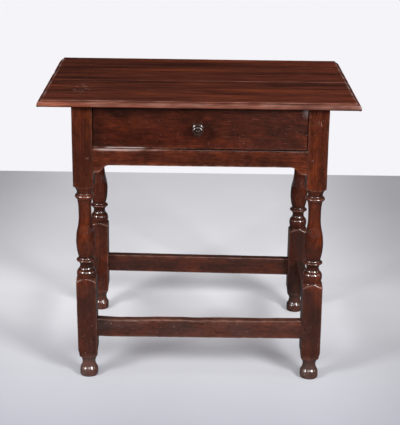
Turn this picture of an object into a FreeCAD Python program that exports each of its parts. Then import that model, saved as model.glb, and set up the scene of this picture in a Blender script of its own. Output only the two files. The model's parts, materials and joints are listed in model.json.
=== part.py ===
import FreeCAD, Part
import math
import os

# Joined side table: pegged oak frame on turned legs, box stretcher, moulded two-board top, one drawer.
# Millimetres. The origin is on the floor under the middle of the top: +X right, +Y back, +Z up.

# Overall sizes
table_height = 700.0
top_width = 731.0
top_depth = 502.0
top_thickness = 16.0
left_overhang = 74.5
right_overhang = 67.5
front_overhang = 30.0
back_overhang = 10.0

# Top boards and their moulded edge
front_board_depth = 226.0
seam_gap = 0.4
edge_fillet_setback = 9.0
edge_fillet_drop = 2.0
edge_fillet_ledge = 2.5
edge_round_drop = 6.0
edge_arris = 1.5

# Legs
leg_width = 48.0
leg_arris = 1.2
foot_height = 58.0
block_below_stretcher = 51.0
block_above_stretcher = 87.0
block_below_bracket = 35.0

# Turned outlines from bottom to top: line kind, share of the height, share of half the leg's width.
# A bead also has the radius share of its fullest point.
foot_sole_share = 0.854
foot_outline_shares = [
    ("arrive", 0.138, 1.0),
    ("ogee", 0.603, 0.667),
    ("leave", 0.981, 1.48),
]
block_share = 1.48
vase_outline_shares = [
    ("line", -0.016, block_share),
    ("line", 0.029, 0.929),
    ("line", 0.051, 0.904),
    ("arrive", 0.098, 0.979),
    ("ogee", 0.184, 0.625),
    ("leave", 0.230, 0.925),
    ("bead", 0.248, 0.9, 0.967),
    ("arrive", 0.273, 0.738),
    ("arrive", 0.426, 0.95),
    ("ogee", 0.693, 0.633),
    ("line", 0.758, 0.633),
    ("leave", 0.863, 0.746),
    ("bead", 0.916, 0.75, 0.958),
    ("line", 0.92, 0.733),
    ("leave", 1.006, block_share),
]

# Rails under the top
rail_thickness = 22.0
rail_setback = 1.5
drawer_opening_height = 103.0
front_rail_height = 40.0
bracket_drop = 18.0
bracket_width = 36.0
bracket_flat = 7.0

# Stretchers
stretcher_height = 47.0
stretcher_thickness = 22.0
stretcher_setback = 3.0
stretcher_arris = 1.5

# Tenons and pegs
tenon_thickness = 9.0
tenon_shoulder = 5.0
tenon_haunch = 18.0
tenon_web = 3.0
tenon_clearance = 0.15
peg_radius = 4.0
peg_inset = 13.0
peg_bite = 10.0
peg_proud = 0.8
peg_stagger = 5.0
peg_clearance = 0.1
single_peg_shares = (0.5,)
double_peg_shares = (0.22, 0.78)

# Pegs that hold the top down
top_peg_radius = 4.5
top_peg_depth = 34.0
top_peg_end_inset = 38.0
top_peg_seam_inset = 26.0

# Drawer runners and guides
runner_height = 22.0
runner_bearing = 20.0
guide_height = 16.0
guide_gap = 0.6
fit_gap = 0.3

# Drawer
drawer_side_gap = 1.5
drawer_top_gap = 2.5
drawer_run_gap = 0.3
drawer_back_gap = 0.3
drawer_setback = 1.0
drawer_front_cover = 9.0
drawer_lap = 13.0
drawer_front_lift = 1.5
drawer_side_thickness = 11.0
drawer_side_drop = 6.0
drawer_back_thickness = 11.0
drawer_back_drop = 12.0
drawer_bottom_thickness = 9.0
drawer_rabbet = 10.0
drawer_board_gap = 0.5
drawer_fit_gap = 0.1

# Drawer knob, turned with a spigot that passes through the drawer front, a little left of its middle
knob_radius = 13.5
knob_length = 30.0
knob_rise = -1.0
knob_left = 5.5
spigot_radius = 6.0
spigot_end = 5.0
spigot_clearance = 0.1
knob_base_share = 0.92
knob_outline_shares = [
    ("bead", 0.14, 0.76, 0.98),
    ("arrive", 0.38, 0.48),
    ("ogee", 0.66, 1.0),
    ("leave", 0.88, 0.6),
    ("line", 0.86, 0.36),
    ("arrive", 0.93, 0.3),
    ("line", 1.0, 0.14),
    ("line", 1.0, 0.0),
]

# Nails
nail_radius = 1.5
nail_head_radius = 3.5
nail_head_height = 1.0
nail_clearance = 0.05
nail_bite = 14.0
runner_nail_shares = (0.12, 0.5, 0.88)
guide_nail_shares = (0.2, 0.8)
front_nail_shares = (0.18, 0.5, 0.82)
back_nail_shares = (0.25, 0.75)
bottom_side_nail_shares = (0.12, 0.38, 0.64, 0.9)
bottom_end_nail_shares = (0.25, 0.75)

# How far cutting shapes run past the surface that they open, and the turn of a solid of revolution in degrees
overrun = 2.0
full_turn = 360

# Places worked out from the sizes above. The frame is laid out about its own middle in X,
# and at the end every piece moves so that the origin is under the middle of the top.
frame_width = top_width - left_overhang - right_overhang
frame_front = front_overhang - top_depth / 2
frame_back = top_depth / 2 - back_overhang
frame_side = frame_width / 2
top_middle_x = (right_overhang - left_overhang) / 2
half_leg = leg_width / 2
leg_x = frame_side - half_leg
leg_y = {"front": frame_front + half_leg, "back": frame_back - half_leg}
leg_height = table_height - top_thickness
inner_x = leg_x - half_leg
inner_front = leg_y["front"] + half_leg
inner_back = leg_y["back"] - half_leg
rail_top = leg_height - drawer_opening_height
rail_bottom = rail_top - front_rail_height
bracket_bottom = rail_bottom - bracket_drop
upper_block_bottom = bracket_bottom - block_below_bracket
stretcher_bottom = foot_height + block_below_stretcher
stretcher_top = stretcher_bottom + stretcher_height
lower_block_top = stretcher_top + block_above_stretcher
seam_y = front_board_depth - top_depth / 2
rail_inside = rail_setback + rail_thickness
side_rail_inside = frame_side - rail_inside
front_rail_inside = frame_front + rail_inside
back_rail_inside = frame_back - rail_inside

solids = {}
cutters = {}


def vector(x, y, z):
    return FreeCAD.Vector(x, y, z)


def spot(run, along, across, height):
    """A point given along a rail's run, across it and in height."""
    return vector(along, across, height) if run == "x" else vector(across, along, height)


def bar(run, along, across, heights):
    """A box between two limits each way."""
    low = spot(run, min(along), min(across), min(heights))
    high = spot(run, max(along), max(across), max(heights))
    size = high - low
    return Part.makeBox(size.x, size.y, size.z, low)


def pin(radius, start, end):
    """A round rod between two points."""
    return Part.makeCylinder(radius, start.distanceToPoint(end), start, end - start)


def cut_from(node, shape):
    cutters.setdefault(node, []).append(shape)


def add_group(node, shapes):
    """Separate solids that share one node."""
    solids[node] = Part.makeCompound(shapes)


def mix(limits, share):
    """The place at a share of the way between two limits."""
    return limits[0] + (limits[1] - limits[0]) * share


def middle(limits):
    return sum(limits) / 2


def edges_along(shape, way):
    """The straight edges of a box that run along a unit vector."""
    return [edge for edge in shape.Edges if round(abs(edge.tangentAt(edge.FirstParameter).dot(way))) == 1]


# Outlines

def arc_by_tangent(start, end, tangent_at):
    """An arc between two (radius, height) points, running straight up at one of them."""
    far = start if tangent_at is end else end
    rise = far[1] - tangent_at[1]
    reach = far[0] - tangent_at[0]
    radius = (rise ** 2 + reach ** 2) / (2 * reach)
    centre = tangent_at[0] + radius
    angle = math.atan2(rise, far[0] - centre)
    level = 0.0 if radius < 0 else math.copysign(math.pi, rise)
    half_way = (angle + level) / 2
    size = abs(radius)
    through = (centre + size * math.cos(half_way), tangent_at[1] + size * math.sin(half_way))
    return [(start, through, end)]


def outline_pieces(start, steps):
    """Line and arc pieces of an outline, each a tuple of two or three (radius, height) points."""
    pieces = []
    for kind, end, *fullest in steps:
        if kind == "line":
            pieces.append((start, end))
        elif kind == "arrive":
            pieces += arc_by_tangent(start, end, end)
        elif kind == "leave":
            pieces += arc_by_tangent(start, end, start)
        elif kind == "ogee":
            turn = ((start[0] + end[0]) / 2, (start[1] + end[1]) / 2)
            pieces += arc_by_tangent(start, turn, start)
            pieces += arc_by_tangent(turn, end, end)
        elif kind == "bead":
            pieces.append((start, (fullest[0], (start[1] + end[1]) / 2), end))
        start = end
    return pieces


def wire_from(pieces, place):
    """A wire of lines and arcs, with each (radius, height) point put in space by place."""
    edges = []
    for piece in pieces:
        points = [place(*point) for point in piece]
        curve = Part.LineSegment(*points) if len(points) == 2 else Part.Arc(*points)
        edges.append(curve.toShape())
    return Part.Wire(edges)


def sized_steps(shares, base, height, radius):
    """Outline steps in millimetres from their shares of a height and a radius."""
    steps = []
    for kind, height_share, radius_share, *fullest in shares:
        point = (radius_share * radius, base + height_share * height)
        steps.append((kind, point, *[share * radius for share in fullest]))
    return steps


def turned(pieces, place, axis):
    """A solid of revolution about a line through the place of (0, 0)."""
    face = Part.Face(wire_from(pieces, place))
    return face.revolve(place(0, 0), axis, full_turn)


# Legs

def leg_blank():
    """One leg about its own axis: square stock cut back to the turned outline."""
    vase_height = upper_block_bottom - lower_block_top
    steps = [("line", (foot_sole_share * half_leg, 0))]
    steps += sized_steps(foot_outline_shares, 0, foot_height, half_leg)
    steps += sized_steps(vase_outline_shares, lower_block_top, vase_height, half_leg)
    steps += [("line", (block_share * half_leg, leg_height)), ("line", (0, leg_height)), ("line", (0, 0))]
    spindle = turned(outline_pieces((0, 0), steps), lambda r, z: vector(r, 0, z), vector(0, 0, 1))
    faces = (-half_leg, half_leg)
    stock = bar("x", faces, faces, (0, leg_height))
    upright = edges_along(stock, vector(0, 0, 1))
    return stock.makeFillet(leg_arris, upright).common(spindle)


def make_legs():
    blank = leg_blank()
    for end, y in leg_y.items():
        for side, x in (("left", -leg_x), ("right", leg_x)):
            leg = blank.copy()
            leg.translate(vector(x, y, 0))
            solids[f"leg_{end}_{side}"] = leg


# Rails and stretchers with their tenons and pegs

def join_ends(node, run, face, inward, setback, thickness, tenon_heights, peg_shares, legs):
    """Tenons at both ends of a rail, their mortises in the legs, and the pegs through both."""
    ends = ((-1, -inner_x), (1, inner_x)) if run == "x" else ((-1, inner_front), (1, inner_back))
    tenon_near = setback + (thickness - tenon_thickness) / 2
    tenon_far = tenon_near + tenon_thickness
    tenon_length = leg_width - tenon_far - tenon_web
    across = (face + inward * tenon_near, face + inward * tenon_far)
    peg_end = face + inward * (tenon_far + peg_bite)
    stagger = peg_stagger if run == "x" else -peg_stagger
    pegs = []
    for (sign, shoulder), leg in zip(ends, legs):
        along = (shoulder, shoulder + sign * tenon_length)
        solids[node] = solids[node].fuse(bar(run, along, across, tenon_heights))
        cut_from(leg, mortise(run, along, across, tenon_heights))
        peg_place = shoulder + sign * peg_inset
        for share in peg_shares:
            height = mix(tenon_heights, share) + stagger
            head = spot(run, peg_place, face - inward * peg_proud, height)
            tip = spot(run, peg_place, peg_end, height)
            pegs.append(pin(peg_radius, head, tip))
            hole_start = spot(run, peg_place, face - inward * overrun, height)
            hole_end = spot(run, peg_place, peg_end + inward * peg_clearance, height)
            hole = pin(peg_radius + peg_clearance, hole_start, hole_end)
            cut_from(leg, hole)
            cut_from(node, hole)
    add_group(f"{node}_pegs", pegs)


def mortise(run, along, across, heights):
    """A tenon's box with its clearance on every side."""
    def widened(limits):
        return (min(limits) - tenon_clearance, max(limits) + tenon_clearance)
    return bar(run, widened(along), widened(across), widened(heights))


def make_front_rail():
    """Rail under the drawer, with an ogee bracket left at each end."""
    # Drawn on its side, as (height, distance) points, so that the ogee runs level at both ends.
    right = outline_pieces((rail_top, 0), [
        ("line", (rail_top, inner_x)),
        ("line", (bracket_bottom, inner_x)),
        ("line", (bracket_bottom, inner_x - bracket_flat)),
        ("ogee", (rail_bottom, inner_x - bracket_width)),
        ("line", (rail_bottom, 0)),
    ])
    left = [tuple((z, -x) for z, x in reversed(piece)) for piece in reversed(right)]
    face_y = frame_front + rail_setback
    wire = wire_from(right + left, lambda z, x: vector(x, face_y, z))
    solids["front_rail"] = Part.Face(wire).extrude(vector(0, rail_thickness, 0))
    tenon_heights = (bracket_bottom + tenon_shoulder, rail_top - tenon_shoulder)
    join_ends("front_rail", "x", frame_front, 1, rail_setback, rail_thickness, tenon_heights,
              single_peg_shares, ("leg_front_left", "leg_front_right"))


def frame_sides():
    """Each side of the frame: name, run, outer face, way inward, and the legs at its two ends."""
    return (
        ("front", "x", frame_front, 1, ("leg_front_left", "leg_front_right")),
        ("back", "x", frame_back, -1, ("leg_back_left", "leg_back_right")),
        ("left", "y", -frame_side, 1, ("leg_front_left", "leg_back_left")),
        ("right", "y", frame_side, -1, ("leg_front_right", "leg_back_right")),
    )


def make_rails():
    """Back rail and side rails, which reach up to the top."""
    tenon_heights = (rail_bottom + tenon_shoulder, leg_height - tenon_haunch)
    for name, run, face, inward, legs in frame_sides()[1:]:
        node = "back_rail" if name == "back" else f"side_rail_{name}"
        along = (-inner_x, inner_x) if run == "x" else (inner_front, inner_back)
        across = (face + inward * rail_setback, face + inward * rail_inside)
        solids[node] = bar(run, along, across, (rail_bottom, leg_height))
        join_ends(node, run, face, inward, rail_setback, rail_thickness, tenon_heights,
                  double_peg_shares, legs)


def make_stretchers():
    """Four stretchers round the lower blocks, with softened long edges."""
    heights = (stretcher_bottom, stretcher_top)
    tenon_heights = (stretcher_bottom + tenon_shoulder, stretcher_top - tenon_shoulder)
    for name, run, face, inward, legs in frame_sides():
        node = f"stretcher_{name}"
        along = (-inner_x, inner_x) if run == "x" else (inner_front, inner_back)
        near = face + inward * stretcher_setback
        blank = bar(run, along, (near, near + inward * stretcher_thickness), heights)
        solids[node] = blank.makeFillet(stretcher_arris, edges_along(blank, spot(run, 1, 0, 0)))
        join_ends(node, run, face, inward, stretcher_setback, stretcher_thickness, tenon_heights,
                  single_peg_shares, legs)


# Top

def edge_outline(half):
    """The top's section from its middle out to one moulded edge, as (distance, height) pieces."""
    ledge = table_height - edge_fillet_drop
    return outline_pieces((0, leg_height), [
        ("line", (half - edge_arris, leg_height)),
        ("arrive", (half, leg_height + edge_arris)),
        ("line", (half, ledge - edge_round_drop)),
        ("leave", (half - edge_fillet_setback + edge_fillet_ledge, ledge)),
        ("line", (half - edge_fillet_setback, ledge)),
        ("line", (half - edge_fillet_setback, table_height)),
        ("line", (0, table_height)),
    ])


def moulded_slab(half_x, half_y):
    """The whole top: one moulded section drawn through along each way, kept where both are."""
    slabs = []
    for run, half, other in (("x", half_y, half_x), ("y", half_x, half_y)):
        near = edge_outline(half)
        far = [tuple((-across, z) for across, z in reversed(piece)) for piece in reversed(near)]
        wire = wire_from(near + far, lambda across, z: spot(run, -other, across, z))
        slabs.append(Part.Face(wire).extrude(spot(run, 2 * other, 0, 0)))
    return slabs[0].common(slabs[1])


def make_top():
    """Two boards cut from the moulded slab, pegged down on the side rails."""
    slab = moulded_slab(top_width / 2, top_depth / 2)
    slab.translate(vector(top_middle_x, 0, 0))
    wide = (top_middle_x - top_width / 2, top_middle_x + top_width / 2)
    heights = (leg_height, table_height)
    front = bar("x", wide, (-top_depth / 2, seam_y - seam_gap / 2), heights)
    back = bar("x", wide, (seam_y + seam_gap / 2, top_depth / 2), heights)
    solids["top_board_front"] = slab.common(front)
    solids["top_board_back"] = slab.common(back)
    places = {
        "top_board_front": (inner_front + top_peg_end_inset, seam_y - top_peg_seam_inset),
        "top_board_back": (seam_y + top_peg_seam_inset, inner_back - top_peg_end_inset),
    }
    pegs = []
    for board, rows in places.items():
        for y in rows:
            for side, rail in ((-1, "side_rail_left"), (1, "side_rail_right")):
                x = side * (frame_side - rail_setback - rail_thickness / 2)
                foot = leg_height - top_peg_depth
                pegs.append(pin(top_peg_radius, vector(x, y, foot), vector(x, y, table_height)))
                hole = pin(top_peg_radius + peg_clearance, vector(x, y, foot - peg_clearance),
                           vector(x, y, table_height + overrun))
                cut_from(board, hole)
                cut_from(rail, hole)
    add_group("top_pegs", pegs)


# Nails

def nail(head, way, length, pieces):
    """A flat-headed nail set flush, with its hole in each of the pieces that it holds."""
    shank_end = head + way * length
    head_end = head + way * nail_head_height
    solid = pin(nail_radius, head, shank_end).fuse(pin(nail_head_radius, head, head_end))
    hole = pin(nail_radius + nail_clearance, head, shank_end + way * nail_clearance)
    seat = pin(nail_head_radius + nail_clearance, head - way * overrun, head_end)
    for piece in pieces:
        cut_from(piece, hole.fuse(seat))
    return solid.removeSplitter()


# Drawer runners

def make_runners():
    """Runners that carry the drawer, fitted round the legs and nailed to the side rails, with guides."""
    inside = inner_x - runner_bearing
    heights = (rail_top - runner_height, rail_top)
    between_legs = (inner_front + fit_gap, inner_back - fit_gap)
    runner_nails = []
    guide_nails = []
    for side, name in ((-1, "left"), (1, "right")):
        runner = f"drawer_runner_{name}"
        guide = f"drawer_guide_{name}"
        rail = f"side_rail_{name}"
        tongue_across = (side * inside, side * (inner_x - fit_gap))
        tongue = bar("y", (front_rail_inside, back_rail_inside), tongue_across, heights)
        bed = bar("y", between_legs, (side * inside, side * side_rail_inside), heights)
        solids[runner] = tongue.fuse(bed).removeSplitter()
        guide_across = (side * (inner_x + guide_gap), side * side_rail_inside)
        solids[guide] = bar("y", between_legs, guide_across, (rail_top, rail_top + guide_height))
        for share in runner_nail_shares:
            head = vector(side * inside, mix(between_legs, share), middle(heights))
            length = side_rail_inside - inside + nail_bite
            runner_nails.append(nail(head, vector(side, 0, 0), length, (runner, rail)))
        for share in guide_nail_shares:
            head = vector(middle(guide_across), mix(between_legs, share), rail_top + guide_height)
            guide_nails.append(nail(head, vector(0, 0, -1), guide_height + nail_bite / 2, (guide, runner)))
    add_group("drawer_runner_nails", runner_nails)
    add_group("drawer_guide_nails", guide_nails)


# Drawer

def make_drawer():
    """Nailed drawer: sides lapped into the front, back between the sides, bottom boards beneath."""
    half = inner_x - drawer_side_gap
    front_face = frame_front + drawer_setback
    lap_start = front_face + drawer_front_cover
    front_inside = lap_start + drawer_lap
    end = back_rail_inside - drawer_back_gap
    underside = rail_top + drawer_run_gap
    floor = underside + drawer_bottom_thickness
    front_heights = (underside + drawer_front_lift, leg_height - drawer_top_gap)
    side_top = front_heights[1] - drawer_side_drop
    rabbet_start = front_inside - drawer_rabbet
    side_inside = half - drawer_side_thickness
    back_inside = end - drawer_back_thickness
    side_nails = []
    bottom_nails = []

    solids["drawer_front"] = bar("x", (-half, half), (front_face, front_inside), front_heights)
    rabbet = bar("x", (-half - overrun, half + overrun),
                 (rabbet_start - drawer_fit_gap, front_inside + overrun), (underside, floor))
    cut_from("drawer_front", rabbet)

    for side, name in ((-1, "left"), (1, "right")):
        node = f"drawer_side_{name}"
        solids[node] = bar("y", (lap_start, end), (side * side_inside, side * half), (floor, side_top))
        lap = bar("y", (lap_start - drawer_fit_gap, front_inside + overrun),
                  (side * (side_inside - drawer_fit_gap), side * (half + overrun)),
                  (floor, side_top + drawer_fit_gap))
        cut_from("drawer_front", lap)
        inward = vector(-side, 0, 0)
        length = drawer_side_thickness + nail_bite
        for share in front_nail_shares:
            head = vector(side * half, middle((lap_start, front_inside)), mix((floor, side_top), share))
            side_nails.append(nail(head, inward, length, (node, "drawer_front")))
        for share in back_nail_shares:
            head = vector(side * half, middle((back_inside, end)), mix((floor, side_top), share))
            side_nails.append(nail(head, inward, length, (node, "drawer_back")))

    back_across = (-side_inside, side_inside)
    back_top = front_heights[1] - drawer_back_drop
    solids["drawer_back"] = bar("x", back_across, (back_inside, end), (floor, back_top))
    make_drawer_bottom(half, (rabbet_start, end), (underside, floor), bottom_nails)
    add_group("drawer_side_nails", side_nails)
    add_group("drawer_bottom_nails", bottom_nails)
    make_knob(front_face, front_inside, middle(front_heights) + knob_rise)


def make_drawer_bottom(half, along, heights, nails):
    """Three boards from front to back, nailed up into the drawer's sides, front and back."""
    up = vector(0, 0, 1)
    length = drawer_bottom_thickness + nail_bite
    names = ("left", "middle", "right")
    width = 2 * half / len(names)
    for index, name in enumerate(names):
        node = f"drawer_bottom_{name}"
        low = -half + index * width
        across = (low + min(index, 1) * drawer_board_gap, low + width)
        solids[node] = bar("y", along, across, heights)
        for share in bottom_end_nail_shares:
            x = mix(across, share)
            front_nail = vector(x, along[0] + drawer_rabbet / 2, heights[0])
            back_nail = vector(x, along[1] - drawer_back_thickness / 2, heights[0])
            nails.append(nail(front_nail, up, length, (node, "drawer_front")))
            nails.append(nail(back_nail, up, length, (node, "drawer_back")))
        if name != "middle":
            x = math.copysign(half - drawer_side_thickness / 2, low + width / 2)
            side_run = (along[0] + drawer_rabbet, along[1] - drawer_back_thickness)
            for share in bottom_side_nail_shares:
                side_nail = vector(x, mix(side_run, share), heights[0])
                nails.append(nail(side_nail, up, length, (node, f"drawer_side_{name}")))


def make_knob(front_face, front_inside, height):
    """Turned knob and spigot on one axis through the drawer front."""
    back = -(front_inside - front_face + spigot_end)
    steps = [
        ("line", (spigot_radius, back)),
        ("line", (spigot_radius, 0)),
        ("line", (knob_base_share * knob_radius, 0)),
    ]
    steps += sized_steps(knob_outline_shares, 0, knob_length, knob_radius)
    steps.append(("line", (0, back)))
    pieces = outline_pieces((0, back), steps)

    def place(r, out):
        return vector(r - knob_left, front_face - out, height)

    solids["drawer_knob"] = turned(pieces, place, vector(0, 1, 0))
    hole = pin(spigot_radius + spigot_clearance, vector(-knob_left, front_face - overrun, height),
               vector(-knob_left, front_inside + overrun, height))
    cut_from("drawer_front", hole)


make_legs()
make_front_rail()
make_rails()
make_stretchers()
make_top()
make_runners()
make_drawer()

os.makedirs("parts", exist_ok=True)
for node, shape in solids.items():
    if node in cutters:
        shape = shape.cut(cutters[node])
    shape = shape.removeSplitter()
    shape.translate(vector(-top_middle_x, 0, 0))
    shape.exportStep(f"parts/{node}.step")
    print(node, len(shape.Solids), round(shape.Volume), shape.isValid())
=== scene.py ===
# Old joined oak side table: the visual model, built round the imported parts.
# Metres. +X right, +Y back, +Z up, with the floor at zero.

import json
import math

import bmesh
import bpy
import numpy as np
from mathutils import Matrix, Vector

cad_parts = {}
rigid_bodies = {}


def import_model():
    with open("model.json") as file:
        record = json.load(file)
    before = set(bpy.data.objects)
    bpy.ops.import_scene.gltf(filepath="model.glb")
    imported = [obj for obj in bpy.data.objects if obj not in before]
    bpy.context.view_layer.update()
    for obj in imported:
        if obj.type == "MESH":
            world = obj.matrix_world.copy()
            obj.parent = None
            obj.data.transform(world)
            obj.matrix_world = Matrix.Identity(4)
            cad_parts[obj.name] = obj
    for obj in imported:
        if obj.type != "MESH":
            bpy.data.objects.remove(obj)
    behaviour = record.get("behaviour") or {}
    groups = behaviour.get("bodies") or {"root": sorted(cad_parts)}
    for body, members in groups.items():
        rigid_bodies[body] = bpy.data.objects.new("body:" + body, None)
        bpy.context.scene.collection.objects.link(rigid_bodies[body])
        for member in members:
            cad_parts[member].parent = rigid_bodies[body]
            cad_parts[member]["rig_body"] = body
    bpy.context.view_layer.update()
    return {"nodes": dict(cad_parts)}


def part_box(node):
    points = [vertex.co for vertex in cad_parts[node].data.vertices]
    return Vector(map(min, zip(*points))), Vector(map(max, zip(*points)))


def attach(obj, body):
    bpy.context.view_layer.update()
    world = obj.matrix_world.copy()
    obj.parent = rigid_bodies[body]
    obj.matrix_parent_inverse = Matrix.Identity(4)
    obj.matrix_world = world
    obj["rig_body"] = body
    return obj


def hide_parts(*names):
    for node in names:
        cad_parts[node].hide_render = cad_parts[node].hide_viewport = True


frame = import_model()

# Spacing of the mesh points
board_step = 0.005
face_step = 0.006
edge_band = 0.0022
edge_band_share = 0.3
arc_points = 5
arc_fewest = 3
bead_fewest = 4
top_step = 0.0045
turning_step = 0.0011
block_step = 0.0045
lathe_columns = 56
knob_step = 0.0006
flat_shares = (0.0, 0.2, 0.4, 0.58, 0.73, 0.84, 0.91, 0.955, 0.985)
near_corner_from = 0.9
sharp_angle = math.radians(48)
weld = 1e-6
quarter_turn = math.pi / 2

# Wear of the wood
board_arris = 0.0016
lining_arris = 0.0011
arris_change = 0.45
arris_wave = 0.03
end_round = 0.0012
swell = 0.0005
swell_length = 0.16
swell_width = 0.035
dent = 0.00022
dent_size = 0.011
chip_depth = 0.0016
chip_size = 0.008
chip_range = (0.3, 1.3)
chip_spacing = 0.075
chip_seed = 100
edge_patch = 0.02
edge_least = 0.25
beside_edge_wear = 0.12
tuck = 0.0015

# The racked frame: the front feet stand a little right of where their tops are,
# and the back right leg's turnings sit low
front_lean = 0.005
lean_top = 0.60
back_drop = 0.006
drop_from = (0.02, 0.10)
drop_to = (0.44, 0.52)

# Noise. Where a mark has its own noise, its wave length and its seed are named together.
noise_cells = 32
noise_seed = 17
noise_table = np.random.default_rng(noise_seed).uniform(-1, 1, (noise_cells,) * 3)
seed_shift = np.array([0.37, 7.13, 3.71])


def rough(points, wave, seed):
    """Smooth repeatable noise from -1 to 1 at each point; wave is its wave length, by axis."""
    place = np.asarray(points, float) / wave + seed * seed_shift
    cell = np.floor(place).astype(int)
    part = place - cell
    part = part * part * (3 - 2 * part)
    total = np.zeros(place.shape[:-1])
    for corner in np.ndindex(2, 2, 2):
        spot = (cell + corner) % noise_cells
        weight = np.prod(np.where(corner, part, 1 - part), axis=-1)
        total += weight * noise_table[spot[..., 0], spot[..., 1], spot[..., 2]]
    return total


def rough_line(places, wave, seed, row=0):
    """The same noise along one of many rows."""
    line = np.stack([places / wave, np.full_like(places, row), np.zeros_like(places)], -1)
    return rough(line, 1, seed)


def patches(points, wave, seed):
    """The same noise from 0 to 1."""
    return 0.5 + 0.5 * rough(points, wave, seed)


def uneven(least, patchy):
    """A share that goes from least to 1 as patchy goes from 0 to 1."""
    return least + (1 - least) * patchy


def ease(value, start, end):
    """0 before start, 1 after end, and smooth between them."""
    part = np.clip((value - start) / (end - start), 0, 1)
    return part * part * (3 - 2 * part)


def fade(value, start, end):
    """1 before start, 0 after end, and smooth between them."""
    return 1 - ease(value, start, end)


def within(value, rise, fall):
    """0 before rise, 1 between rise and fall, and 0 after fall."""
    return ease(value, *rise) * fade(value, *fall)


def bump(value, centre, size):
    """A soft bump of height 1."""
    return np.exp(-((value - centre) / size) ** 2)


def spot_on(first, second, centre, size):
    """A soft spot on a face with two coordinates."""
    return bump(first, centre[0], size[0]) * bump(second, centre[1], size[1])


def soft_min(first, second, blend):
    """The lesser of two lengths, rounded over where they meet."""
    share = np.clip(0.5 + 0.5 * (second - first) / blend, 0, 1)
    return second * (1 - share) + first * share - blend * share * (1 - share)


def others(run):
    """The two axes across a run."""
    return [axis for axis in range(3) if axis != run]


def circle(count):
    """Even angles all round."""
    return np.arange(count) * 2 * math.pi / count


def directions(angles):
    """Flat vectors of length 1."""
    return np.stack([np.cos(angles), np.sin(angles)], -1)


def lathed(reach, ways, along, centre, run):
    """Points round an axis: how far out they are in each direction, at places along the axis."""
    points = np.empty((*reach.shape, 3))
    points[..., run] = along[:, None]
    points[..., others(run)] = centre[others(run)] + reach[..., None] * ways
    return points


# Places taken from the frame

def corners(node):
    """Lowest and highest corner of a CAD node."""
    low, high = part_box(node)
    return np.array(low), np.array(high)


top_low, top_high = corners("top_board_front")[0], corners("top_board_back")[1]
leg_nodes = ("leg_front_left", "leg_front_right", "leg_back_left", "leg_back_right")
leg_boxes = {node: corners(node) for node in leg_nodes}
inner_left, inner_front, leg_top = leg_boxes["leg_front_left"][1]
inner_right = leg_boxes["leg_front_right"][0][0]
inner_back = leg_boxes["leg_back_left"][0][1]
leg_half = (inner_left - leg_boxes["leg_front_left"][0][0]) / 2
front_leg_y = sum(leg_boxes["leg_front_left"])[1] / 2
back_leg_y = sum(leg_boxes["leg_back_left"])[1] / 2
rail_low, rail_high = corners("front_rail")
stretcher_low, stretcher_high = corners("stretcher_front")


def from_legs(places):
    """Distance from the nearer of the left and right legs."""
    return np.minimum(places - inner_left, inner_right - places)


def lean(points):
    """Shifts points as the racked frame leans at the front and sags at the back right."""
    x, y, z = points.T
    height = np.clip((lean_top - z) / lean_top, 0, 1)
    depth = np.clip((back_leg_y - y) / (back_leg_y - front_leg_y), 0, 1)
    rightward = np.clip((x - inner_left) / (inner_right - inner_left), 0, 1)
    leaned = points.copy()
    leaned[:, 0] += front_lean * height * depth
    leaned[:, 2] -= back_drop * rightward * (1 - depth) * within(z, drop_from, drop_to)
    return leaned


# Mesh building

# Kinds of ageing. The grime kind also holds painted shade, and the wear kind also holds a painted sheen on
# the top's moulding.
age_kinds = ("wear", "grime", "bare", "scuff")


def fresh_age(points):
    """Ageing of each kind at each point, from 0 to 1, with none of it yet."""
    return {kind: np.zeros(points.shape[:-1]) for kind in age_kinds}


def at_least(age, kind, value):
    """Raises one kind of ageing to a value where it is below it."""
    age[kind] = np.maximum(age[kind], value)


def show(name, data):
    """A new object in the scene."""
    made = bpy.data.objects.new(name, data)
    bpy.context.scene.collection.objects.link(made)
    return made


def put(mesh, name, kind, field, values):
    """Writes one value for each point of a mesh."""
    layer = mesh.attributes.new(name, kind, "POINT")
    layer.data.foreach_set(field, np.ascontiguousarray(values, np.float32).ravel())


def add_piece(name, points, faces, grain, age, look, node):
    """One piece with its wood coordinates and its ageing, in place of a CAD node."""
    mesh = bpy.data.meshes.new(name)
    mesh.from_pydata(lean(points.reshape(-1, 3)).tolist(), [], faces)
    skin = bmesh.new()
    skin.from_mesh(mesh)
    bmesh.ops.recalc_face_normals(skin, faces=skin.faces)
    skin.to_mesh(mesh)
    skin.free()
    put(mesh, "grain", "FLOAT_VECTOR", "vector", grain)
    ages = np.stack([age[kind] for kind in age_kinds], -1)
    put(mesh, "age", "FLOAT_COLOR", "color", np.clip(ages, 0, 1))
    mesh.shade_smooth()
    mesh.set_sharp_from_angle(angle=sharp_angle)
    mesh.materials.append(looks[look])
    piece = show(name, mesh)
    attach(piece, frame["nodes"][node]["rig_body"])
    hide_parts(node)


def add_tube(name, points, run, seed, age, look, node):
    """A piece whose points lie ring by ring, with its grain along one axis."""
    faces = tube_faces(*points.shape[:2])
    add_piece(name, points, faces, wood_coordinates(points, run, seed), age, look, node)


def grid_faces(rows, columns, closed):
    """Quads between points that lie row by row, joined round the columns if closed."""
    row, column = np.meshgrid(np.arange(rows - 1), np.arange(columns - (not closed)), indexing="ij")
    after = (column + 1) % columns
    quads = np.stack([row * columns + column, row * columns + after,
                      (row + 1) * columns + after, (row + 1) * columns + column], -1)
    return quads.reshape(-1, 4).tolist()


def tube_faces(rows, columns):
    """Faces of a skin through closed rings, with a cap on the first ring and on the last."""
    first = list(range(columns))[::-1]
    last = list(range((rows - 1) * columns, rows * columns))
    return grid_faces(rows, columns, True) + [first, last]


def wood_coordinates(points, run, seed):
    """Coordinates in the tree that a piece was cut from, the first one along its grain."""
    return points[..., [run, *others(run)]] + seed * seed_shift


# Boards

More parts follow.
